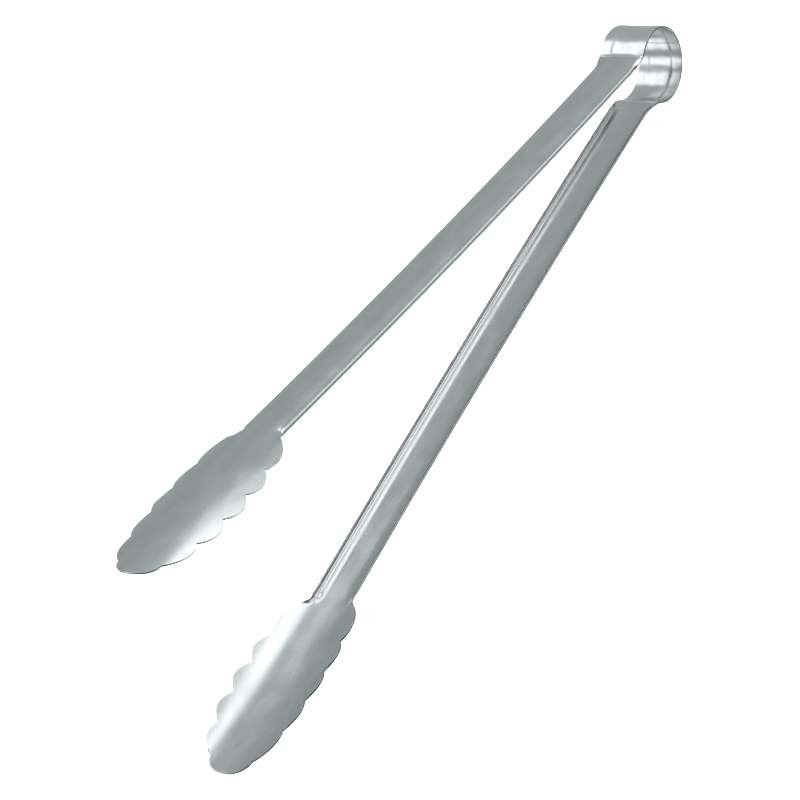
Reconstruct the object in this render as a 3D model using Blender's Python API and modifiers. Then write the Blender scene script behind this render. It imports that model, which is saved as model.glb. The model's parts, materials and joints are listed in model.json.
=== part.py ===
"""Spring tongs of one pressed stainless strip: a ring-shaped spring bow, two channel arms and two
scalloped blades.

Metres, +Z up. The tongs lie on their side: the bow's axis stands along +Z, the arms point to -Y and
open along X. Each half of the strip is described by its centreline, which leaves the crown of the
bow, turns round it, bends back at the neck and runs down the arm to the tip of the blade, and by the
section across it at each distance from the crown.
"""

from math import asin, cos, pi, radians, sin

import bpy
from mathutils import Vector

SHEET = 0.0009  # thickness of the strip
JOINT_GAP = 0.0003  # between neighbouring pieces of the strip

BOW_RADIUS = 0.0165  # to the outside of the ring
BAND_WIDTH = 0.0216  # width of the strip round the bow
RIB_HEIGHT = 0.0003  # how far the middle of the band is pressed inwards
RIB_WIDTH = 0.011
RIB_FLANK = 0.0014  # width of the slope on either side of the rib
RING_TURN = radians(125.5)  # from the crown of the bow to the neck, on each side

NECK_RADIUS = 0.0052  # centreline radius of the bend back out of the ring
ARM_START_ANGLE = radians(4.9)  # from the middle plane, where the arm leaves the neck
ARM_CURVE_RADIUS = 6.0  # the arms bow gently outwards
ARM_LENGTH = 0.289  # from the neck to the blade
ARM_WIDTH = 0.0198
ARM_DEPTH = 0.0032
FOLD_RADIUS = 0.00105  # centreline radius of the bend between web and flange
FOLD_RUN = 0.0085  # length over which the flanges rise out of the flat band
DISH_SLOPE = radians(20)  # the web's borders rise towards the flanges
DISH_START = 0.0022  # from the middle of the web to where its borders start to rise
GROOVE = 0.0007  # width of the crease beside the fold, where the web levels out again

BLADE_LENGTH = 0.09
BLADE_CURVE_RADIUS = 0.75  # the blades turn in towards each other
CUP_RADIUS = 0.043  # of the hollow across the blade
FLARE_RUN = 0.007  # length over which the flanges open out into the blade
LOBE_PITCH = 0.0157  # between the notches of the scalloped edge
LOBE_HEIGHT = 0.0034
FIRST_LOBE_HEIGHT = 0.0042
NOTCH_HALF_WIDTHS = (0.0157, 0.0169, 0.0166, 0.0152, 0.0100)  # at each notch, from arm to tip
TIP_LOBE_HEIGHT = 0.007

RING_STEPS = 44
ARM_STEPS = 8
NECK_ROWS = 12
ROWS_PER_LOBE = 7
TIP_STOPS = (0.2, 0.4, 0.58, 0.73, 0.85, 0.93)  # rows along the tip lobe, as shares of its height
FINE_STEPS = 8  # between neighbouring points of a section, where its slope is summed
DISH_STEPS = 100

MIDDLE_RADIUS = BOW_RADIUS - SHEET / 2
RING_END = MIDDLE_RADIUS * RING_TURN
NECK_BEND = RING_TURN - pi / 2 + ARM_START_ANGLE
NECK_END = RING_END + NECK_RADIUS * NECK_BEND
BLADE_START = NECK_END + ARM_LENGTH
TIP = BLADE_START + BLADE_LENGTH
CENTRELINE = (  # length and curvature of each stretch, from the crown on
    (RING_END, -1 / MIDDLE_RADIUS),
    (NECK_END - RING_END, 1 / NECK_RADIUS),
    (ARM_LENGTH, 1 / ARM_CURVE_RADIUS),
    (BLADE_LENGTH, -1 / BLADE_CURVE_RADIUS),
)
WEB_HALF = ARM_WIDTH / 2 - SHEET / 2 - FOLD_RADIUS  # flat half of the web
FOLD_ARC = FOLD_RADIUS * pi / 2
HANDLE_START = NECK_END + FOLD_RUN
HANDLE_END = BLADE_START - FLARE_RUN / 2

STEEL = (0.42, 0.44, 0.43, 1.0)
BRIGHT_STEEL = (0.52, 0.53, 0.53, 1.0)


def smooth(x):
    x = min(max(x, 0.0), 1.0)
    return x * x * (3 - 2 * x)


def centreline(distance):
    """Place and direction of the strip's middle on the +X side, at a distance from the crown.

    The direction is the angle from -Y towards +X.
    """
    x, y, angle = 0.0, MIDDLE_RADIUS, pi / 2
    for length, curvature in CENTRELINE:
        step = min(distance, length)
        end = angle + curvature * step
        x += (cos(angle) - cos(end)) / curvature
        y -= (sin(end) - sin(angle)) / curvature
        angle = end
        distance -= step
    return x, y, angle


def rib(z):
    """Depth of the shallow rib round the bow, at a height from its middle."""
    return RIB_HEIGHT * smooth((RIB_WIDTH / 2 + RIB_FLANK / 2 - abs(z)) / RIB_FLANK)


def dish(place):
    """Slope of the arm's web across the strip, at a distance from its middle."""
    crease = WEB_HALF - GROOVE
    rising = smooth((place - DISH_START) / (crease - DISH_START))
    return DISH_SLOPE * rising * (1 - smooth((place - crease) / GROOVE))


def channel_half():
    """Half the developed width of the channel: web, fold and what the dish leaves of the flange."""
    step = WEB_HALF / DISH_STEPS
    rise = sum(sin(dish((i + 0.5) * step)) * step for i in range(DISH_STEPS))
    return WEB_HALF + FOLD_ARC + ARM_DEPTH - SHEET / 2 - FOLD_RADIUS - rise


def section(half_width, fold, cup):
    """Points (depth, z) across one half of the strip, from its middle to its edge.

    fold is 0 on a flat strip and 1 where the flange stands square; cup is the curvature across.
    """
    stops = [WEB_HALF * share for share in (0, 0.262, 0.5, 0.72, 0.915, 1)]
    stops += [WEB_HALF + FOLD_ARC * share for share in (0.34, 0.67, 1)]
    squeeze = min(0.95 * half_width / stops[-1], 1)
    stops = [stop * squeeze for stop in stops]
    stops += [stops[-1] + (half_width - stops[-1]) * share for share in (0.33, 0.67, 1)]
    points, depth, z, place = [], 0.0, 0.0, 0.0
    for stop in stops:
        step = (stop - place) / FINE_STEPS
        for _ in range(FINE_STEPS):
            middle = place + step / 2
            share = min(max((middle - WEB_HALF) / FOLD_ARC, 0.0), 1.0)
            angle = fold * (share * pi / 2 + dish(middle)) + cup * middle
            depth += sin(angle) * step
            z += cos(angle) * step
            place += step
        points.append((depth, z))
    return points


def blade_half_width(along):
    """Half width of the scalloped blade at a distance from its start, measured round its hollow."""
    last = BLADE_LENGTH - TIP_LOBE_HEIGHT
    count = len(NOTCH_HALF_WIDTHS)
    starts = [0.0] + [last - LOBE_PITCH * (count - 1 - i) for i in range(count)]
    widths = [ARM_WIDTH / 2] + list(NOTCH_HALF_WIDTHS)
    if along >= last:
        across = widths[-1] * (1 - min((along - last) / TIP_LOBE_HEIGHT, 1.0) ** 2) ** 0.5
        return CUP_RADIUS * asin(across / CUP_RADIUS)
    lobe = max(i for i in range(count) if starts[i] <= max(along, 0.0))
    share = max(along - starts[lobe], 0.0) / (starts[lobe + 1] - starts[lobe])
    height = LOBE_HEIGHT if lobe else FIRST_LOBE_HEIGHT
    straight = widths[lobe] + (widths[lobe + 1] - widths[lobe]) * share
    across = straight + height * sin(pi * share) ** 0.75
    return CUP_RADIUS * asin(across / CUP_RADIUS)


def place_row(distance, points, side):
    """The full row of points across the strip, from the lower edge to the upper."""
    x, y, angle = centreline(distance)
    half = [(x - depth * cos(angle), y - depth * sin(angle), z) for depth, z in points]
    row = [(px, py, -pz) for px, py, pz in reversed(half[1:])] + half
    return [Vector((side * px, py, pz)) for px, py, pz in row]


def material(name, colour, roughness):
    made = bpy.data.materials.new(name)
    made.use_nodes = True
    shader = made.node_tree.nodes["Principled BSDF"]
    shader.inputs["Base Color"].default_value = colour
    shader.inputs["Metallic"].default_value = 1.0
    shader.inputs["Roughness"].default_value = roughness
    return made


def add_object(name, mesh, parent, surface, parts):
    made = bpy.data.objects.new(name, mesh)
    made.parent = parent
    mesh.materials.append(surface)
    parts.objects.link(made)
    return made


def thicken(made):
    """Gives an open surface the thickness of the strip, half to each side."""
    solid = made.modifiers.new("sheet", "SOLIDIFY")
    solid.thickness = SHEET
    solid.offset = 0
    solid.use_even_offset = True
    made.data.shade_smooth()
    made.data.set_sharp_from_angle(angle=radians(35))


def sweep(name, profile, turn, steps, parent, surface, parts):
    """A sheet whose section, points (radius, z), is turned about the object's own Z axis."""
    mesh = bpy.data.meshes.new(name)
    edges = [(i, i + 1) for i in range(len(profile) - 1)]
    mesh.from_pydata([(radius, 0, z) for radius, z in profile], edges, [])
    made = add_object(name, mesh, parent, surface, parts)
    screw = made.modifiers.new("sweep", "SCREW")
    screw.angle = turn
    screw.steps = screw.render_steps = steps
    screw.use_merge_vertices = False
    thicken(made)
    return made


def loft(name, rows, parent, surface, parts):
    """A sheet through rows of points, for a stretch where the section changes."""
    across = len(rows[0])
    faces = []
    for i in range(len(rows) - 1):
        for j in range(across - 1):
            a = i * across + j
            faces.append((a, a + 1, a + across + 1, a + across))
    mesh = bpy.data.meshes.new(name)
    mesh.from_pydata([point for row in rows for point in row], [], faces)
    made = add_object(name, mesh, parent, surface, parts)
    thicken(made)
    return made


def spring_bow(parent, surface, parts):
    """The ring: a ribbed band turned about the bow's axis, open towards the arms."""
    edge, top, foot = BAND_WIDTH / 2, RIB_WIDTH / 2 - RIB_FLANK / 2, RIB_WIDTH / 2 + RIB_FLANK / 2
    heights = (-edge, -foot, -RIB_WIDTH / 2, -top, 0, top, RIB_WIDTH / 2, foot, edge)
    turn = 2 * (RING_TURN - JOINT_GAP / 2 / MIDDLE_RADIUS)
    profile = [(MIDDLE_RADIUS - rib(z), z) for z in heights]
    made = sweep("spring_bow", profile, turn, RING_STEPS, parent, surface, parts)
    made.rotation_euler.z = pi / 2 - turn / 2


def neck(name, side, parent, surface, parts):
    """Bends back out of the ring while its edges fold up into the arm's flanges."""
    start = RING_END + JOINT_GAP / 2
    end = HANDLE_START - JOINT_GAP / 2
    rows = []
    for i in range(NECK_ROWS + 1):
        distance = start + (end - start) * i / NECK_ROWS
        share = smooth((distance - RING_END) / (HANDLE_START - RING_END))
        half_width = BAND_WIDTH / 2 + (channel_half() - BAND_WIDTH / 2) * share
        points = section(half_width, share, 0.0)
        points = [(depth + rib(z) * (1 - share), z) for depth, z in points]
        rows.append(place_row(distance, points, side))
    loft(name, rows, parent, surface, parts)


def handle(name, side, parent, surface, parts):
    """A channel, open towards the other arm, swept along the arm's gentle curve."""
    start, end = HANDLE_START + JOINT_GAP / 2, HANDLE_END - JOINT_GAP / 2
    half = section(channel_half(), 1.0, 0.0)
    half = half[:-3] + half[-1:]
    points = [(depth, -z) for depth, z in reversed(half[1:])] + half
    profile = [(ARM_CURVE_RADIUS + depth, z) for depth, z in points]
    turn = side * (end - start) / ARM_CURVE_RADIUS
    made = sweep(name, profile, turn, ARM_STEPS, parent, surface, parts)
    x, y, angle = centreline(start)
    made.location = (side * (x + ARM_CURVE_RADIUS * cos(angle)), y + ARM_CURVE_RADIUS * sin(angle), 0)
    made.rotation_euler.z = pi + angle if side > 0 else -angle


def blade(name, side, parent, surface, parts):
    """The flanges open out into a hollow blade with a scalloped edge and a rounded tip."""
    start, notch = HANDLE_END + JOINT_GAP / 2, TIP - TIP_LOBE_HEIGHT
    count = ROWS_PER_LOBE * len(NOTCH_HALF_WIDTHS) + 3
    places = [start + (notch - start) * i / count for i in range(count + 1)]
    rows = []
    for distance in places + [notch + TIP_LOBE_HEIGHT * stop for stop in TIP_STOPS]:
        open_out = smooth((distance - HANDLE_END) / FLARE_RUN)
        half_width = max(channel_half() * (distance < BLADE_START + FLARE_RUN),
                         blade_half_width(distance - BLADE_START))
        points = section(half_width, 1 - open_out, open_out / CUP_RADIUS)
        rows.append(place_row(distance, points, side))
    round_off(rows[-1], side)
    loft(name, rows, parent, surface, parts)


def round_off(row, side):
    """Carries the middle of the last row forward to close the round of the tip."""
    angle = centreline(TIP)[2]
    forward = Vector((side * sin(angle), -cos(angle), 0)) * TIP_LOBE_HEIGHT * (1 - TIP_STOPS[-1])
    for point in row:
        point += forward * (1 - (point.z / row[-1].z) ** 2)


def stand_on_origin(frame, parts):
    """Moves the whole assembly so that the middle of its box's underside is at the origin."""
    bpy.context.view_layer.update()
    graph = bpy.context.evaluated_depsgraph_get()
    corners = []
    for made in parts.objects:
        if made.type == "MESH":
            evaluated = made.evaluated_get(graph)
            mesh = evaluated.to_mesh()
            corners += [made.matrix_world @ vertex.co for vertex in mesh.vertices]
            evaluated.to_mesh_clear()
    low = [min(corner[axis] for corner in corners) for axis in range(3)]
    high = [max(corner[axis] for corner in corners) for axis in range(3)]
    frame.location = (-(low[0] + high[0]) / 2, -(low[1] + high[1]) / 2, -low[2])
    bpy.context.view_layer.update()


def main():
    for old in list(bpy.data.objects):
        bpy.data.objects.remove(old)
    parts = bpy.data.collections.new("spring_tongs")
    bpy.context.scene.collection.children.link(parts)
    satin = material("satin_stainless", STEEL, 0.38)
    bright = material("polished_stainless", BRIGHT_STEEL, 0.18)
    frame = bpy.data.objects.new("bow_axis", None)
    parts.objects.link(frame)
    spring_bow(frame, bright, parts)
    for name, side in (("left", -1), ("right", 1)):
        pivot = bpy.data.objects.new(name + "_arm_pivot", None)
        pivot.parent = frame
        parts.objects.link(pivot)
        neck(name + "_neck", side, pivot, satin, parts)
        handle(name + "_handle", side, pivot, satin, parts)
        blade(name + "_blade", side, pivot, satin, parts)
    stand_on_origin(frame, parts)


main()
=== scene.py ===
"""Spring tongs of one pressed stainless strip, shown in a plain studio.

The strip is built in four sheets that meet edge to edge: the two halves of the buffed bow and the
two satin arms with their hollow scalloped blades. Metres, +Z up.
"""

import json
from math import asin, cos, exp, pi, radians, sin, sqrt

import bpy
from mathutils import Matrix, Vector


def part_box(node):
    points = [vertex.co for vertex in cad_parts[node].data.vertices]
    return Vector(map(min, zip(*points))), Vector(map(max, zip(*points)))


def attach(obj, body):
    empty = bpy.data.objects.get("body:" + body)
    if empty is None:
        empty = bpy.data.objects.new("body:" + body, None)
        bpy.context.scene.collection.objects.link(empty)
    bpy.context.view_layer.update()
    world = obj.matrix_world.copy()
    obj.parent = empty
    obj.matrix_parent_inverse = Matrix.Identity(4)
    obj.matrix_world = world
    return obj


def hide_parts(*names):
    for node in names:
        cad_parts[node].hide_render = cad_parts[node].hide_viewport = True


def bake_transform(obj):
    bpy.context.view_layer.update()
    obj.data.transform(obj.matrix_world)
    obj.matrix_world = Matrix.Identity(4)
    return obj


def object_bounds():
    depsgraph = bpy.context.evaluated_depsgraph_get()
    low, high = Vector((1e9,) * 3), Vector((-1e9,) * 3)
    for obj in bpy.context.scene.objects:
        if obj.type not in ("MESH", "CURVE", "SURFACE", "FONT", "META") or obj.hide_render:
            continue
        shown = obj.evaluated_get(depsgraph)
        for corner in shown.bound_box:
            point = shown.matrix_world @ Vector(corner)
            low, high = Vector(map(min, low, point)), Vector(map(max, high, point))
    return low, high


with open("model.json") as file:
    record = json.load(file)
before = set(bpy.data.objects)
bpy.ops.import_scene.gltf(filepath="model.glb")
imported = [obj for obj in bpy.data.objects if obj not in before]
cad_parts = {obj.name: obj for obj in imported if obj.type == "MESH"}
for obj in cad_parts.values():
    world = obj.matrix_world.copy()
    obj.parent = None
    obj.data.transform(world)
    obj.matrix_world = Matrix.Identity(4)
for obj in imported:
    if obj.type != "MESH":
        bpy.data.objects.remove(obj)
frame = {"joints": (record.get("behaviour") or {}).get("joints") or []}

bl_info = {
    "name": "Spring tongs",
    "version": (1, 0, 0),
    "blender": (4, 5, 0),
    "location": "View3D > Sidebar > Tongs",
    "description": "Builds pressed stainless spring tongs and a plain studio to see them in",
    "category": "Add Mesh",
}

CAD_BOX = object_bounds()
HINGE = Vector(frame["joints"][0]["pos_m"])
BOW_LOW, BOW_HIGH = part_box("spring_bow")
SIDES = (("left", -1), ("right", 1))  # the name of each half, and its side of the hinge along X


def smooth(x):
    """Rises from 0 to 1 with x, level at both ends."""
    x = min(max(x, 0.0), 1.0)
    return x * x * (3 - 2 * x)


# ---------------------------------------------------------------- settings


def length(name, description, default):
    """A setting in metres."""
    return bpy.props.FloatProperty(
        name=name, description=description, default=default, min=0.0,
        unit="LENGTH", subtype="DISTANCE", precision=5)


def turn(name, description, degrees):
    """A setting that is an angle."""
    return bpy.props.FloatProperty(
        name=name, description=description, default=radians(degrees),
        unit="ROTATION", subtype="ANGLE", precision=4)


def colour(name, description, code):
    """A setting that is a colour, from its sRGB hex code."""
    return bpy.props.FloatVectorProperty(
        name=name, description=description, default=linear(code), min=0.0, max=1.0,
        size=4, subtype="COLOR")


def linear(code):
    """An sRGB hex colour as linear red, green, blue and alpha."""
    shares = [int(code[i:i + 2], 16) / 255 for i in (0, 2, 4)]
    return tuple(s / 12.92 if s <= 0.04045 else ((s + 0.055) / 1.055) ** 2.4 for s in shares) + (1.0,)


class StripSizes(bpy.types.PropertyGroup):
    """Sizes of the pressed strip"""

    sheet: length("Sheet", "Thickness of the strip", 0.0009)
    bow_radius: length("Bow radius", "Outside radius of the ring", (BOW_HIGH.x - BOW_LOW.x) / 2)
    band_width: length("Band width", "Width of the strip round the bow", BOW_HIGH.z - BOW_LOW.z)
    rib_height: length("Rib height", "How far the middle of the band is pressed inwards", 0.00014)
    rib_width: length("Rib width", "Distance between the two creases of the band", 0.011)
    rib_flank: length("Rib flank", "Width of each crease", 0.0014)
    ring_turn: turn("Ring turn", "Turn from the crown of the bow to the neck", 125.5)
    neck_radius: length("Neck radius", "Radius of the bend back out of the ring", 0.0052)
    arm_start: turn("Arm start", "Angle of the arm where it leaves the neck", 4.9)
    arm_curve: length("Arm curve", "Radius of the arm's gentle outward bow", 6.0)
    arm_length: length("Arm length", "From the neck to the blade", 0.289)
    arm_width: length("Arm width", "Width of the channel", 0.0198)
    arm_depth: length("Arm depth", "Depth of the channel", 0.0032)
    fold_radius: length("Fold radius", "Radius of the bend between web and flange", 0.00105)
    fold_run: length("Fold run", "Length over which the flanges rise", 0.0085)
    dish_slope: turn("Dish slope", "How steeply the web's borders rise towards the flanges", 22)
    dish_start: length("Dish start", "From the middle of the web to its rising borders", 0.0022)
    groove: length("Groove", "Width of the crease beside the fold", 0.0007)
    blade_length: length("Blade length", "From the arm to the tip", 0.09)
    blade_curve: length("Blade curve", "Radius by which the blades turn in", 0.75)
    cup_radius: length("Cup radius", "Radius of the hollow across the blade", 0.043)
    flare_run: length("Flare run", "Length over which the flanges open out", 0.007)
    lobe_pitch: length("Lobe pitch", "Distance between notches", 0.0157)
    lobe_height: length("Lobe height", "How far a lobe stands out", 0.0034)
    first_lobe: length("First lobe", "How far the lobe next to the arm stands out", 0.0042)
    tip_height: length("Tip height", "Length of the rounded tip", 0.007)
    notches: bpy.props.FloatVectorProperty(
        name="Notch widths", description="Half width at each notch, from the arm to the tip",
        size=5, default=(0.0157, 0.0169, 0.0166, 0.0152, 0.0100), unit="LENGTH", precision=5)
    edge_round: length("Edge round", "Rounding of the tumbled cut edge", 0.00016)


class SteelFinish(bpy.types.PropertyGroup):
    """Colours and gloss of the steel"""

    satin: colour("Satin", "Colour of the tumbled satin sheet", "C9CBCC")
    buffed: colour("Buffed", "Colour of the buffed bow", "D0D1D3")
    # The cut edge's colour is painted dark: painted shade for the dark surroundings that the edge mirrors.
    cut_edge_painted_shade: colour("Cut edge", "Colour of the sheared edge", "7D8282")
    satin_roughness: bpy.props.FloatProperty(
        name="Satin roughness", description="Mean roughness of the satin sheet",
        default=0.25, min=0.0, max=1.0, subtype="FACTOR")
    buffed_roughness: bpy.props.FloatProperty(
        name="Buffed roughness", description="Mean roughness of the buffed bow",
        default=0.25, min=0.0, max=1.0, subtype="FACTOR")


class StudioSettings(bpy.types.PropertyGroup):
    """Camera, floor and light"""

    distance: length("Distance", "From the camera to what it looks at", 1.6697)
    azimuth: turn("Azimuth", "Direction of the camera round the tongs", -41.81)
    elevation: turn("Elevation", "Height of the camera above the floor", 34.74)
    roll: turn("Roll", "Turn of the camera about its own axis", 94.58)
    aim: bpy.props.FloatVectorProperty(
        name="Aim", description="The point that the camera looks at", size=3,
        default=(0.0063, -0.0334, 0.0200), unit="LENGTH", subtype="XYZ", precision=4)
    lens: bpy.props.FloatProperty(
        name="Lens", description="Focal length in millimetres", default=189.6, min=1.0)
    floor: colour("Floor", "Colour of the pale floor", "F4F5F5")
    surround: colour("Surround", "Colour of the studio's walls", "BAC2C1")
    surround_strength: bpy.props.FloatProperty(
        name="Surround strength", description="Brightness of the walls", default=1.0, min=0.0)


# ---------------------------------------------------------------- shape of the strip

# Points across half the strip, and the steps in which the slope across it is added up.
WEB_POINTS = 18
FOLD_POINTS = 7
EDGE_POINTS = 9
FINE_STEPS = 5
DISH_STEPS = 100
FOLD_SHARE = 0.93  # of the half width: the most that web and fold take where the strip is narrow

NECK_LINE = 0.0030  # from the end of the ring to the line where buffing stops
RIB_FADE = 0.004  # length over which the rib of the band runs out
LOBE_POWER = 0.75  # of the sine that draws a lobe; below 1 makes the lobe fuller

# Dents in the sheet: the pits where the folds run out, and the line where buffing stops.
PIT_LEAD = 0.0022  # from the middle of a pit to the start of the blade
PIT_LENGTH = 0.0016
PIT_WIDTH = 0.0011
PIT_DEPTH = 0.0004
LINE_WIDTH = 0.0003
LINE_DEPTH = 0.00006
DENT_REACH = 9  # squared distance, in a dent's own widths, past which the sheet is flat

# Distances between rows along the strip.
BOW_STEP = 0.0003
BOW_END = 0.002  # the last stretch before the line where buffing stops, which has closer rows
BOW_END_STEP = 0.0002
FOLD_REACH = 0.012  # from the ends of the folded channel to where its rows may stand far apart
NECK_STEP = 0.00035
ARM_STEP = 0.0035
FLARE_STEP = 0.0004
NOTCH_LEAD = 0.006  # from where the rows start to crowd to the first notch
NOTCH_LEAD_ROWS = 8
LOBE_ROWS = 18
TIP_ROWS = (0.12, 0.27, 0.43, 0.58, 0.71)  # as shares of the rounded tip
LAST_ROW = 0.82  # the share at which the row stands that is carried forward to the tip


def dent(depth, squared):
    """Depth of a smooth dent at a squared distance from its middle, in the dent's own widths."""
    return depth * exp(-squared) if squared < DENT_REACH else 0.0


class Strip:
    """Half the strip, from the crown of the bow to the tip of a blade, on the +X side of the hinge."""

    def __init__(self, sizes):
        self.s = s = sizes
        self.middle_radius = s.bow_radius - s.sheet / 2
        self.ring_end = self.middle_radius * s.ring_turn
        bend = s.ring_turn - pi / 2 + s.arm_start
        self.neck_end = self.ring_end + s.neck_radius * bend
        self.blade_start = self.neck_end + s.arm_length
        self.tip = self.blade_start + s.blade_length
        self.handle_start = self.neck_end + s.fold_run
        self.handle_end = self.blade_start - s.flare_run / 2
        self.stretches = (
            (self.ring_end, -1 / self.middle_radius),
            (self.neck_end - self.ring_end, 1 / s.neck_radius),
            (s.arm_length, 1 / s.arm_curve),
            (s.blade_length, -1 / s.blade_curve),
        )
        self.web_half = s.arm_width / 2 - s.sheet / 2 - s.fold_radius
        self.fold_arc = s.fold_radius * pi / 2
        step = self.web_half / DISH_STEPS
        rise = sum(sin(self.dish((i + 0.5) * step)) * step for i in range(DISH_STEPS))
        flange = s.arm_depth - s.sheet / 2 - s.fold_radius - rise
        self.channel_half = self.web_half + self.fold_arc + flange
        self.split = self.ring_end + NECK_LINE
        # Measured from the end of the arm: the rounded tip and the notches between the lobes.
        self.tip_start = s.blade_length - s.tip_height
        last = len(s.notches) - 1
        self.notch_places = [self.tip_start - s.lobe_pitch * (last - i) for i in range(last + 1)]

    def centreline(self, distance):
        """Place and direction of the middle of the strip; the angle is from -Y towards +X."""
        x, y, angle = 0.0, self.middle_radius, pi / 2
        for run, curvature in self.stretches:
            step = min(distance, run)
            end = angle + curvature * step
            x += (cos(angle) - cos(end)) / curvature
            y -= (sin(end) - sin(angle)) / curvature
            angle = end
            distance -= step
        return x, y, angle

    def dish(self, place):
        """Slope of the arm's web across the strip, at a distance from its middle."""
        s = self.s
        crease = self.web_half - s.groove
        rising = smooth((place - s.dish_start) / (crease - s.dish_start))
        return s.dish_slope * rising * (1 - smooth((place - crease) / s.groove))

    def blade_half_width(self, along):
        """Half width of the scalloped blade, measured round its hollow."""
        s = self.s
        starts = [0.0] + self.notch_places
        widths = [s.arm_width / 2] + list(s.notches)
        if along >= self.tip_start:
            share = (along - self.tip_start) / s.tip_height
            across = widths[-1] * sqrt(max(1 - share ** 2, 0.0))
        else:
            lobe = max(i for i in range(len(s.notches)) if starts[i] <= max(along, 0.0))
            share = max(along - starts[lobe], 0.0) / (starts[lobe + 1] - starts[lobe])
            height = s.lobe_height if lobe else s.first_lobe
            straight = widths[lobe] + (widths[lobe + 1] - widths[lobe]) * share
            across = straight + height * max(sin(pi * share), 0.0) ** LOBE_POWER
        return s.cup_radius * asin(across / s.cup_radius)

    def flange_rise(self, distance):
        """How far the flanges have risen: 0 in the ring, 1 in the arm."""
        return smooth((distance - self.ring_end) / (self.handle_start - self.ring_end))

    def half_width(self, distance):
        """Half the width of the flat strip before it was folded."""
        s = self.s
        if distance < self.handle_start:
            band = s.band_width / 2
            return band + (self.channel_half - band) * self.flange_rise(distance)
        if distance < self.handle_end:
            return self.channel_half
        blade = self.blade_half_width(distance - self.blade_start)
        if distance < self.blade_start + s.flare_run:
            return max(self.channel_half, blade)
        return blade

    def section(self, distance):
        """Points (depth, z) across one half of the strip, from its middle to its edge."""
        s = self.s
        half_width = self.half_width(distance)
        open_out = smooth((distance - self.handle_end) / s.flare_run)
        fold = self.flange_rise(distance) * (1 - open_out)
        cup = open_out / s.cup_radius
        stops = [self.web_half * i / WEB_POINTS for i in range(WEB_POINTS)]
        stops += [self.web_half + self.fold_arc * i / FOLD_POINTS for i in range(FOLD_POINTS + 1)]
        # Where the strip is too narrow for the whole web and fold, their points move together.
        squeeze = min(FOLD_SHARE * half_width / stops[-1], 1)
        stops = [stop * squeeze for stop in stops]
        stops += [stops[-1] + (half_width - stops[-1]) * (i + 1) / EDGE_POINTS
                  for i in range(EDGE_POINTS)]
        points, depth, z, place = [], 0.0, 0.0, 0.0
        for stop in stops:
            step = (stop - place) / FINE_STEPS
            for _ in range(FINE_STEPS):
                middle = place + step / 2
                share = min(max((middle - self.web_half) / self.fold_arc, 0.0), 1.0)
                angle = fold * (share * pi / 2 + self.dish(middle)) + cup * middle
                depth += sin(angle) * step
                z += cos(angle) * step
                place += step
            points.append((depth + self.pressed(distance, z), z))
        return points

    def pressed(self, distance, z):
        """How far the rib and the dents move the sheet inwards at a place on it."""
        s = self.s
        rib = smooth((s.rib_width / 2 + s.rib_flank / 2 - abs(z)) / s.rib_flank)
        rib *= 1 - smooth((distance - self.ring_end) / RIB_FADE)
        pit = ((distance - self.blade_start + PIT_LEAD) / PIT_LENGTH) ** 2
        pit += ((abs(z) - self.web_half) / PIT_WIDTH) ** 2
        line = ((distance - self.split) / LINE_WIDTH) ** 2
        return s.rib_height * rib + dent(PIT_DEPTH, pit) + dent(LINE_DEPTH, line)

    def row(self, distance, side):
        """Points across the strip from the lower edge to the upper, with their place on the sheet.

        The side is -1 or +1, and mirrors the row to that side of the hinge.
        """
        half = self.section(distance)
        points = [(depth, -z) for depth, z in reversed(half[1:])] + half
        x, y, angle = self.centreline(distance)
        placed = []
        for depth, z in points:
            spot = Vector((side * (x - depth * cos(angle)), y - depth * sin(angle), z)) + HINGE
            placed.append((spot, (distance, z)))
        return placed

    def tip_distance(self, share):
        """Distance along the strip at a share of its rounded tip."""
        return self.blade_start + self.tip_start + self.s.tip_height * share

    def tip_row(self, share, side):
        """A row near the tip whose middle is carried forward onto the round of the tip."""
        points = self.row(self.tip_distance(share), side)
        edge = points[-1][0].z - HINGE.z
        angle = self.centreline(self.tip)[2]
        forward = Vector((side * sin(angle), -cos(angle), 0))
        full = edge / sqrt(1 - share * share)
        moved = []
        for spot, place in points:
            reach = sqrt(max(1 - ((spot.z - HINGE.z) / full) ** 2, 0.0)) - share
            moved.append((spot + forward * reach * self.s.tip_height, place))
        return moved


def spaced(start, end, step):
    """Even places from the start up to but without the end, near a step apart."""
    count = max(round((end - start) / step), 1)
    return [start + (end - start) * i / count for i in range(count)]


def bow_distances(strip):
    """Where the rows of a bow half stand: closer together near the line where buffing stops."""
    near_line = strip.split - BOW_END
    places = spaced(0.0, near_line, BOW_STEP) + spaced(near_line, strip.split, BOW_END_STEP)
    return places + [strip.split]


def arm_distances(strip):
    """Where the rows of an arm stand up to its rounded tip: close where the section changes fast."""
    near_neck = strip.handle_start + FOLD_REACH
    near_blade = strip.handle_end - FOLD_REACH
    notches = [strip.blade_start + place for place in strip.notch_places]
    lead = notches[0] - NOTCH_LEAD
    places = spaced(strip.split, near_neck, NECK_STEP)
    places += spaced(near_neck, near_blade, ARM_STEP)
    places += spaced(near_blade, lead, FLARE_STEP)
    stretches = [(lead, notches[0], NOTCH_LEAD_ROWS)]
    stretches += [(start, end, LOBE_ROWS) for start, end in zip(notches, notches[1:])]
    for start, end, rows in stretches:
        # A cosine crowds the rows towards both ends, where the outline turns into the notches.
        places += [start + (end - start) * (1 - cos(pi * i / rows)) / 2 for i in range(rows)]
    return places + [notches[-1]]


# ---------------------------------------------------------------- meshes


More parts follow.
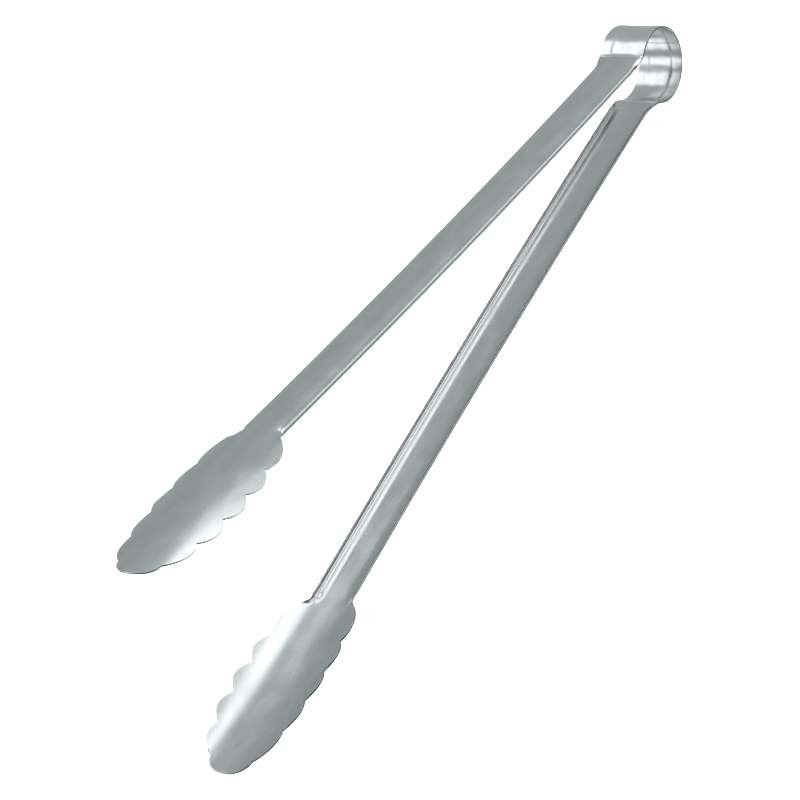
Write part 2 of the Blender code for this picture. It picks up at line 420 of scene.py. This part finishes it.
def sheet(name, rows, materials, closed_tip, sizes):
    """A sheet through rows of points, as thick as the strip, with its cut edges rounded.

    The first material is for the faces and the second for the cut edges. The first row, and the last
    row unless it closes the tip, stays square, because another sheet meets it there.
    """
    across = len(rows[0])
    faces = [(i * across + j, i * across + j + 1, (i + 1) * across + j + 1, (i + 1) * across + j)
             for i in range(len(rows) - 1) for j in range(across - 1)]
    mesh = bpy.data.meshes.new(name)
    mesh.from_pydata([spot for row in rows for spot, _ in row], [], faces)
    places = [place for row in rows for _, place in row]
    layer = mesh.uv_layers.new(name="strip")
    for loop in mesh.loops:
        layer.data[loop.index].uv = places[loop.vertex_index]
    rim = mesh.attributes.new("bevel_weight_edge", "FLOAT", "EDGE")
    final = (len(rows) - 1) * across
    for edge in mesh.edges:
        a, b = sorted(edge.vertices)
        lengthwise = a % across == b % across and a % across in (0, across - 1)
        rim.data[edge.index].value = float(lengthwise or closed_tip and a >= final)
    mesh.shade_smooth()
    for made in materials:
        mesh.materials.append(made)
    piece = bpy.data.objects.new(name, mesh)
    bpy.context.scene.collection.objects.link(piece)
    solid = piece.modifiers.new("sheet", "SOLIDIFY")
    solid.thickness = sizes.sheet
    solid.offset = 0
    solid.use_even_offset = True
    solid.material_offset_rim = 1
    bevel = piece.modifiers.new("tumbled edge", "BEVEL")
    bevel.limit_method = "WEIGHT"
    bevel.width = sizes.edge_round
    bevel.segments = 3
    bevel.use_clamp_overlap = False
    bevel.harden_normals = True
    bevel.material = 0
    return piece


# ---------------------------------------------------------------- materials

NOISE_SPAN = {"From Min": 0.3, "From Max": 0.7}  # nearly all values of a noise texture lie in it
FINE_RELIEF = {"Strength": 0.04, "Distance": 0.000008}  # of lines that are 8 micrometres deep at most
MIX_A, MIX_B, MIX_RESULT = 6, 7, 2  # a Mix node's colour sockets; its number sockets have their names


def add_node(tree, kind, settings=None, links=None):
    """Adds a node; settings are its properties or its sockets' values, and links go to its sockets.

    A socket is given by its name, or by its number where several have the same name.
    """
    node = tree.nodes.new(kind)
    for name, value in (settings or {}).items():
        if isinstance(name, str) and hasattr(node, name):
            setattr(node, name, value)
        else:
            node.inputs[name].default_value = value
    for name, source in (links or {}).items():
        tree.links.new(source, node.inputs[name])
    return node


def start_material(name):
    """A material without nodes, and its node tree."""
    made = bpy.data.materials.new(name)
    made.use_nodes = True
    made.node_tree.nodes.clear()
    return made, made.node_tree


def finish_material(tree, shader):
    """Joins the shader to the material's output."""
    add_node(tree, "ShaderNodeOutputMaterial", links={"Surface": shader.outputs["BSDF"]})


def darker(base, share):
    """A colour with its light cut to a share."""
    return tuple(part * share for part in base[:3]) + (1.0,)


def millimetres(tree, source, along, across):
    """Coordinates in which one unit is a pattern's size along and across the strip, in millimetres."""
    scale = (1000 / along, 1000 / across, 1000 / across)
    return add_node(tree, "ShaderNodeMapping", {"Scale": scale}, {"Vector": source}).outputs["Vector"]


def satin_stainless(finish):
    """Stainless sheet, cold rolled and tumbled after pressing.

    The eye sees an even grey sheen that smears every reflection, with a faint lengthwise grain from
    the rolls, soft clouds where the press has rubbed it and a few fine scratches.
    """
    made, tree = start_material("stainless_rolled_tumbled")
    place = add_node(tree, "ShaderNodeUVMap", {"uv_map": "strip"}).outputs["UV"]
    # The rolled grain is near 0.05 mm across and is drawn at 0.5 mm, the finest that shows.
    grain = add_node(tree, "ShaderNodeTexNoise", {"Scale": 1.0, "Detail": 3.0, "Roughness": 0.6},
                     {"Vector": millimetres(tree, place, 18.0, 0.5)})
    clouds = add_node(tree, "ShaderNodeTexNoise", {"Scale": 1.0, "Detail": 2.0, "Roughness": 0.45},
                      {"Vector": millimetres(tree, place, 16.0, 7.0)})
    # Handling scratches are near 0.05 mm wide and are drawn several times as wide: they are the
    # highest crests of a noise whose waves are 1.1 mm across.
    scratch = add_node(tree, "ShaderNodeTexNoise", {"Scale": 1.0, "Detail": 0.0, "Distortion": 0.6},
                       {"Vector": millimetres(tree, place, 22.0, 1.1)})
    mark = add_node(tree, "ShaderNodeMapRange", {"From Min": 0.745, "From Max": 0.80},
                    {"Value": scratch.outputs["Fac"]})
    rubbed, streak = 0.045, 0.006  # how far the clouds and the grain move the roughness
    base = finish.satin_roughness
    dull = add_node(tree, "ShaderNodeMapRange",
                    {**NOISE_SPAN, "To Min": base - rubbed, "To Max": base + rubbed},
                    {"Value": clouds.outputs["Fac"]})
    streaked = add_node(tree, "ShaderNodeMapRange", {**NOISE_SPAN, "To Min": -streak, "To Max": streak},
                        {"Value": grain.outputs["Fac"]})
    rough = add_node(tree, "ShaderNodeMath", {"operation": "ADD"},
                     {0: dull.outputs["Result"], 1: streaked.outputs["Result"]})
    spread = add_node(tree, "ShaderNodeMapRange", {"From Min": 0.32, "From Max": 0.68},
                      {"Value": clouds.outputs["Fac"]})
    tint = add_node(tree, "ShaderNodeMix",
                    {"data_type": "RGBA", MIX_A: darker(finish.satin, 0.93), MIX_B: tuple(finish.satin)},
                    {"Factor": spread.outputs["Result"]})
    height = add_node(tree, "ShaderNodeMath", {"operation": "SUBTRACT"},
                      {0: grain.outputs["Fac"], 1: mark.outputs["Result"]})
    bump = add_node(tree, "ShaderNodeBump", FINE_RELIEF, {"Height": height.outputs["Value"]})
    shader = add_node(tree, "ShaderNodeBsdfPrincipled", {"Metallic": 1.0},
                      {"Base Color": tint.outputs[MIX_RESULT], "Roughness": rough.outputs["Value"],
                       "Normal": bump.outputs["Normal"]})
    finish_material(tree, shader)
    return made


def buffed_stainless(finish):
    """The same sheet, buffed bright on a mop round the bow.

    The eye sees clear light and dark bands across the ring, a little broken up because the mop leaves
    the sheet very slightly wavy, and faint lines round the band in the mop's direction.
    """
    made, tree = start_material("stainless_buffed")
    place = add_node(tree, "ShaderNodeUVMap", {"uv_map": "strip"}).outputs["UV"]
    waves = add_node(tree, "ShaderNodeTexNoise", {"Scale": 1.0, "Detail": 1.5, "Roughness": 0.4},
                     {"Vector": millimetres(tree, place, 9.0, 9.0)})
    # The mop's lines are near 0.05 mm apart and are drawn at 0.35 mm.
    lines = add_node(tree, "ShaderNodeTexNoise", {"Scale": 1.0, "Detail": 3.0, "Roughness": 0.6},
                     {"Vector": millimetres(tree, place, 14.0, 0.35)})
    smoother, rougher = 0.012, 0.02  # how far the lines move the roughness
    base = finish.buffed_roughness
    rough = add_node(tree, "ShaderNodeMapRange",
                     {**NOISE_SPAN, "To Min": base - smoother, "To Max": base + rougher},
                     {"Value": lines.outputs["Fac"]})
    tint = add_node(tree, "ShaderNodeMix",
                    {"data_type": "RGBA", MIX_A: darker(finish.buffed, 0.94), MIX_B: tuple(finish.buffed)},
                    {"Factor": waves.outputs["Fac"]})
    wavy = add_node(tree, "ShaderNodeBump", {"Strength": 1.0, "Distance": 0.0004},
                    {"Height": waves.outputs["Fac"]})
    bump = add_node(tree, "ShaderNodeBump", FINE_RELIEF,
                    {"Height": lines.outputs["Fac"], "Normal": wavy.outputs["Normal"]})
    shader = add_node(tree, "ShaderNodeBsdfPrincipled", {"Metallic": 1.0},
                      {"Base Color": tint.outputs[MIX_RESULT], "Roughness": rough.outputs["Result"],
                       "Normal": bump.outputs["Normal"]})
    finish_material(tree, shader)
    return made


def sheared_stainless_painted_shade(finish):
    """The same sheet where it was cut by the shear, its burr worn off in the tumbler.

    Its colour is painted darker than the faces, as painted shade for the dark surroundings it mirrors,
    so the cut draws a thin dark line, finely toothed.
    """
    made, tree = start_material("stainless_sheared_edge_painted_shade")
    place = add_node(tree, "ShaderNodeTexCoord").outputs["Object"]
    # Shear marks are near 0.1 mm apart and are drawn at 0.4 mm.
    tooth = add_node(tree, "ShaderNodeTexNoise", {"Scale": 1000 / 0.4, "Detail": 2.0}, {"Vector": place})
    rough = add_node(tree, "ShaderNodeMapRange", {**NOISE_SPAN, "To Min": 0.24, "To Max": 0.40},
                     {"Value": tooth.outputs["Fac"]})
    bump = add_node(tree, "ShaderNodeBump", {"Strength": 0.3, "Distance": 0.00002},
                    {"Height": tooth.outputs["Fac"]})
    # The dark base colour is painted shade for the dark surroundings that the cut edge mirrors.
    shader = add_node(tree, "ShaderNodeBsdfPrincipled",
                      {"Metallic": 1.0, "Base Color": tuple(finish.cut_edge_painted_shade)},
                      {"Roughness": rough.outputs["Result"], "Normal": bump.outputs["Normal"]})
    finish_material(tree, shader)
    return made


def painted_floor(settings):
    """A studio floor in matt paint, put on with a roller.

    The eye sees an even white without a shine, because the roller's stipple breaks up the gloss.
    """
    made, tree = start_material("matt_paint_rolled")
    place = add_node(tree, "ShaderNodeTexCoord").outputs["Object"]
    # The stipple of a short-pile roller is near 2.5 mm across.
    stipple = add_node(tree, "ShaderNodeTexNoise", {"Scale": 1000 / 2.5, "Detail": 2.0}, {"Vector": place})
    rough = add_node(tree, "ShaderNodeMapRange", {"To Min": 0.8, "To Max": 0.95},
                     {"Value": stipple.outputs["Fac"]})
    shader = add_node(tree, "ShaderNodeBsdfPrincipled",
                      {"Base Color": tuple(settings.floor), "Specular IOR Level": 0.2},
                      {"Roughness": rough.outputs["Result"]})
    finish_material(tree, shader)
    return made


# ---------------------------------------------------------------- pieces

BLEND_END = 0.0006  # from the line where buffing stops back up along the neck


def shared_material(name, make, finish):
    """The material of that name, made where it isn't there yet."""
    return bpy.data.materials.get(name) or make(finish)


class TONGS_OT_bow(bpy.types.Operator):
    """Adds the two halves of the sprung bow"""

    bl_idname = "tongs.bow"
    bl_label = "Sprung bow"

    def execute(self, context):
        scene = context.scene
        strip = Strip(scene.tongs_sizes)
        finish = scene.tongs_finish
        materials = (shared_material("stainless_buffed", buffed_stainless, finish),
                     shared_material("stainless_sheared_edge_painted_shade", sheared_stainless_painted_shade, finish))
        for name, side in SIDES:
            rows = [strip.row(distance, side) for distance in bow_distances(strip)]
            half = sheet(name + "_bow_half", rows, materials, False, scene.tongs_sizes)
            neck = HINGE + Vector((0, strip.centreline(strip.split)[1] + BLEND_END, 0))
            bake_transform(half)
            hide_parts("spring_bow")
        return {"FINISHED"}


class TONGS_OT_arms(bpy.types.Operator):
    """Adds the two arms with their hollow scalloped blades"""

    bl_idname = "tongs.arms"
    bl_label = "Arms and blades"

    def execute(self, context):
        scene = context.scene
        strip = Strip(scene.tongs_sizes)
        finish = scene.tongs_finish
        materials = (shared_material("stainless_rolled_tumbled", satin_stainless, finish),
                     shared_material("stainless_sheared_edge_painted_shade", sheared_stainless_painted_shade, finish))
        for name, side in SIDES:
            rows = [strip.row(distance, side) for distance in arm_distances(strip)]
            rows += [strip.row(strip.tip_distance(share), side) for share in TIP_ROWS]
            rows.append(strip.tip_row(LAST_ROW, side))
            arm = sheet(name + "_arm_strip", rows, materials, True, scene.tongs_sizes)
            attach(arm, name + "_arm")
            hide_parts(name + "_neck", name + "_handle", name + "_blade")
        return {"FINISHED"}


# ---------------------------------------------------------------- studio

FLOOR_REACH = 12.0  # from the middle of the floor to its edges, far outside any picture
FLOOR_GAP = 0.0002  # from the floor up to the lowest point of the tongs
LAMP_DISTANCE = 1.7
CARD_COLOUR = (0.02, 0.02, 0.02, 1.0)

SOFTBOXES = (  # name, azimuth, elevation, width, height in degrees, radiance
    ("key_panel", 165, 15, 50, 63, 1.75),
    ("low_panel", 181, -37, 40, 20, 1.45),
    ("front_panel", 240, -36, 24, 24, 1.45),
    ("side_panel", 309, -37, 36, 20, 1.3),
    ("rim_panel", 14, 18, 28, 34, 1.6),
    ("back_panel", 130, 32, 36, 17, 1.5),
    ("top_panel", 90, 89, 80, 80, 9.0),
)
DARK_CARDS = (  # azimuth, elevation, angles to the edges of the dark middle and of the whole, depth
    (322, -2, 18, 34, 0.85),
    (180, 56, 38, 54, 0.85),
    (270, -36, 4, 16, 0.3),
    (115, -62, 10, 36, 0.14),
)


def towards(azimuth, elevation):
    """A direction of length 1; the azimuth is from +X towards +Y, both in degrees."""
    a, e = radians(azimuth), radians(elevation)
    return Vector((cos(a) * cos(e), sin(a) * cos(e), sin(e)))


def softbox(name, azimuth, elevation, wide, high, radiance):
    """A rectangular lamp that faces the tongs and covers the given angles as seen from them."""
    out = towards(azimuth, elevation)
    lamp = bpy.data.lights.new(name, "AREA")
    lamp.shape = "RECTANGLE"
    lamp.size = LAMP_DISTANCE * radians(wide)
    lamp.size_y = LAMP_DISTANCE * radians(high)
    lamp.energy = radiance * pi * lamp.size * lamp.size_y
    made = bpy.data.objects.new(name, lamp)
    made.location = out * LAMP_DISTANCE
    made.rotation_euler = out.to_track_quat("Z", "Y").to_euler()
    bpy.context.scene.collection.objects.link(made)
    return made


def darkened(tree, walls):
    """The walls' colour with soft dark cards in front, which draw the dark lines along the steel."""
    view = add_node(tree, "ShaderNodeTexCoord").outputs["Generated"]
    shade = walls
    for azimuth, elevation, inner, outer, depth in DARK_CARDS:
        near = add_node(tree, "ShaderNodeVectorMath",
                        {"operation": "DOT_PRODUCT", 1: towards(azimuth, elevation)}, {0: view})
        cover = add_node(tree, "ShaderNodeMapRange",
                         {"interpolation_type": "SMOOTHSTEP", "From Min": cos(radians(outer)),
                          "From Max": cos(radians(inner)), "To Max": depth},
                         {"Value": near.outputs["Value"]})
        mixed = add_node(tree, "ShaderNodeMix", {"data_type": "RGBA", MIX_B: CARD_COLOUR},
                         {"Factor": cover.outputs["Result"], MIX_A: shade})
        shade = mixed.outputs[MIX_RESULT]
    return shade


def studio_floor(settings):
    """The pale floor that the tongs lie on."""
    mesh = bpy.data.meshes.new("floor")
    reach = FLOOR_REACH
    corners = [(-reach, -reach, 0), (reach, -reach, 0), (reach, reach, 0), (-reach, reach, 0)]
    mesh.from_pydata(corners, [], [(0, 1, 2, 3)])
    mesh.materials.append(painted_floor(settings))
    floor = bpy.data.objects.new("floor", mesh)
    floor.location.z = CAD_BOX[0].z - FLOOR_GAP
    bpy.context.scene.collection.objects.link(floor)
    # The steel mirrors the lamps all round it, so the floor is kept out of its reflections.
    floor.visible_glossy = False
    # Three lamps stand below the floor and shine through it.
    floor.visible_shadow = False
    return floor


def studio_walls(settings):
    """The grey surround that the steel mirrors between the lamps."""
    world = bpy.data.worlds.new("studio")
    world.use_nodes = True
    tree = world.node_tree
    background = tree.nodes["Background"]
    walls = add_node(tree, "ShaderNodeRGB")
    walls.outputs["Color"].default_value = tuple(settings.surround)
    tree.links.new(darkened(tree, walls.outputs["Color"]), background.inputs["Color"])
    background.inputs["Strength"].default_value = settings.surround_strength
    return world


def studio_camera(settings):
    """A camera with a long lens, turned about its own axis after it has been aimed."""
    azimuth, elevation = settings.azimuth, settings.elevation
    back = Vector((sin(azimuth) * cos(elevation), -cos(azimuth) * cos(elevation), sin(elevation)))
    lens = bpy.data.cameras.new("camera")
    lens.lens = settings.lens
    lens.sensor_width = 36.0
    lens.clip_end = 50.0
    camera = bpy.data.objects.new("camera", lens)
    facing = back.to_track_quat("Z", "Y").to_matrix().to_4x4()
    place = Matrix.Translation(Vector(settings.aim) + back * settings.distance)
    camera.matrix_world = place @ facing @ Matrix.Rotation(settings.roll, 4, "Z")
    bpy.context.scene.collection.objects.link(camera)
    return camera


class TONGS_OT_stage(bpy.types.Operator):
    """Adds the floor, the soft lights and the camera"""

    bl_idname = "tongs.stage"
    bl_label = "Studio"

    def execute(self, context):
        scene = context.scene
        settings = scene.tongs_studio
        studio_floor(settings)
        for name, azimuth, elevation, wide, high, radiance in SOFTBOXES:
            lamp = softbox(name, azimuth, elevation, wide, high, radiance)
            # The lamp overhead is there for the floor; the cut edges would mirror it as white lines.
            lamp.visible_glossy = name != "top_panel"
        scene.world = studio_walls(settings)
        scene.view_settings.view_transform = "Standard"
        scene.camera = studio_camera(settings)
        return {"FINISHED"}


# ---------------------------------------------------------------- add-on


class TONGS_PT_panel(bpy.types.Panel):
    """Lists the pieces of the tongs"""

    bl_idname = "TONGS_PT_panel"
    bl_label = "Spring tongs"
    bl_space_type = "VIEW_3D"
    bl_region_type = "UI"
    bl_category = "Tongs"

    def draw(self, context):
        for piece in (TONGS_OT_bow, TONGS_OT_arms, TONGS_OT_stage):
            self.layout.operator(piece.bl_idname)
        for group in (context.scene.tongs_sizes, context.scene.tongs_finish, context.scene.tongs_studio):
            column = self.layout.column(align=True)
            for name in group.__annotations__:
                column.prop(group, name)


CLASSES = (StripSizes, SteelFinish, StudioSettings, TONGS_OT_bow, TONGS_OT_arms, TONGS_OT_stage,
           TONGS_PT_panel)


def register():
    for item in CLASSES:
        bpy.utils.register_class(item)
    bpy.types.Scene.tongs_sizes = bpy.props.PointerProperty(type=StripSizes)
    bpy.types.Scene.tongs_finish = bpy.props.PointerProperty(type=SteelFinish)
    bpy.types.Scene.tongs_studio = bpy.props.PointerProperty(type=StudioSettings)


def unregister():
    del bpy.types.Scene.tongs_sizes
    del bpy.types.Scene.tongs_finish
    del bpy.types.Scene.tongs_studio
    for item in reversed(CLASSES):
        bpy.utils.unregister_class(item)


def main():
    register()
    bpy.ops.tongs.bow()
    bpy.ops.tongs.arms()
    bpy.ops.tongs.stage()


if __name__ == "__main__":
    main()
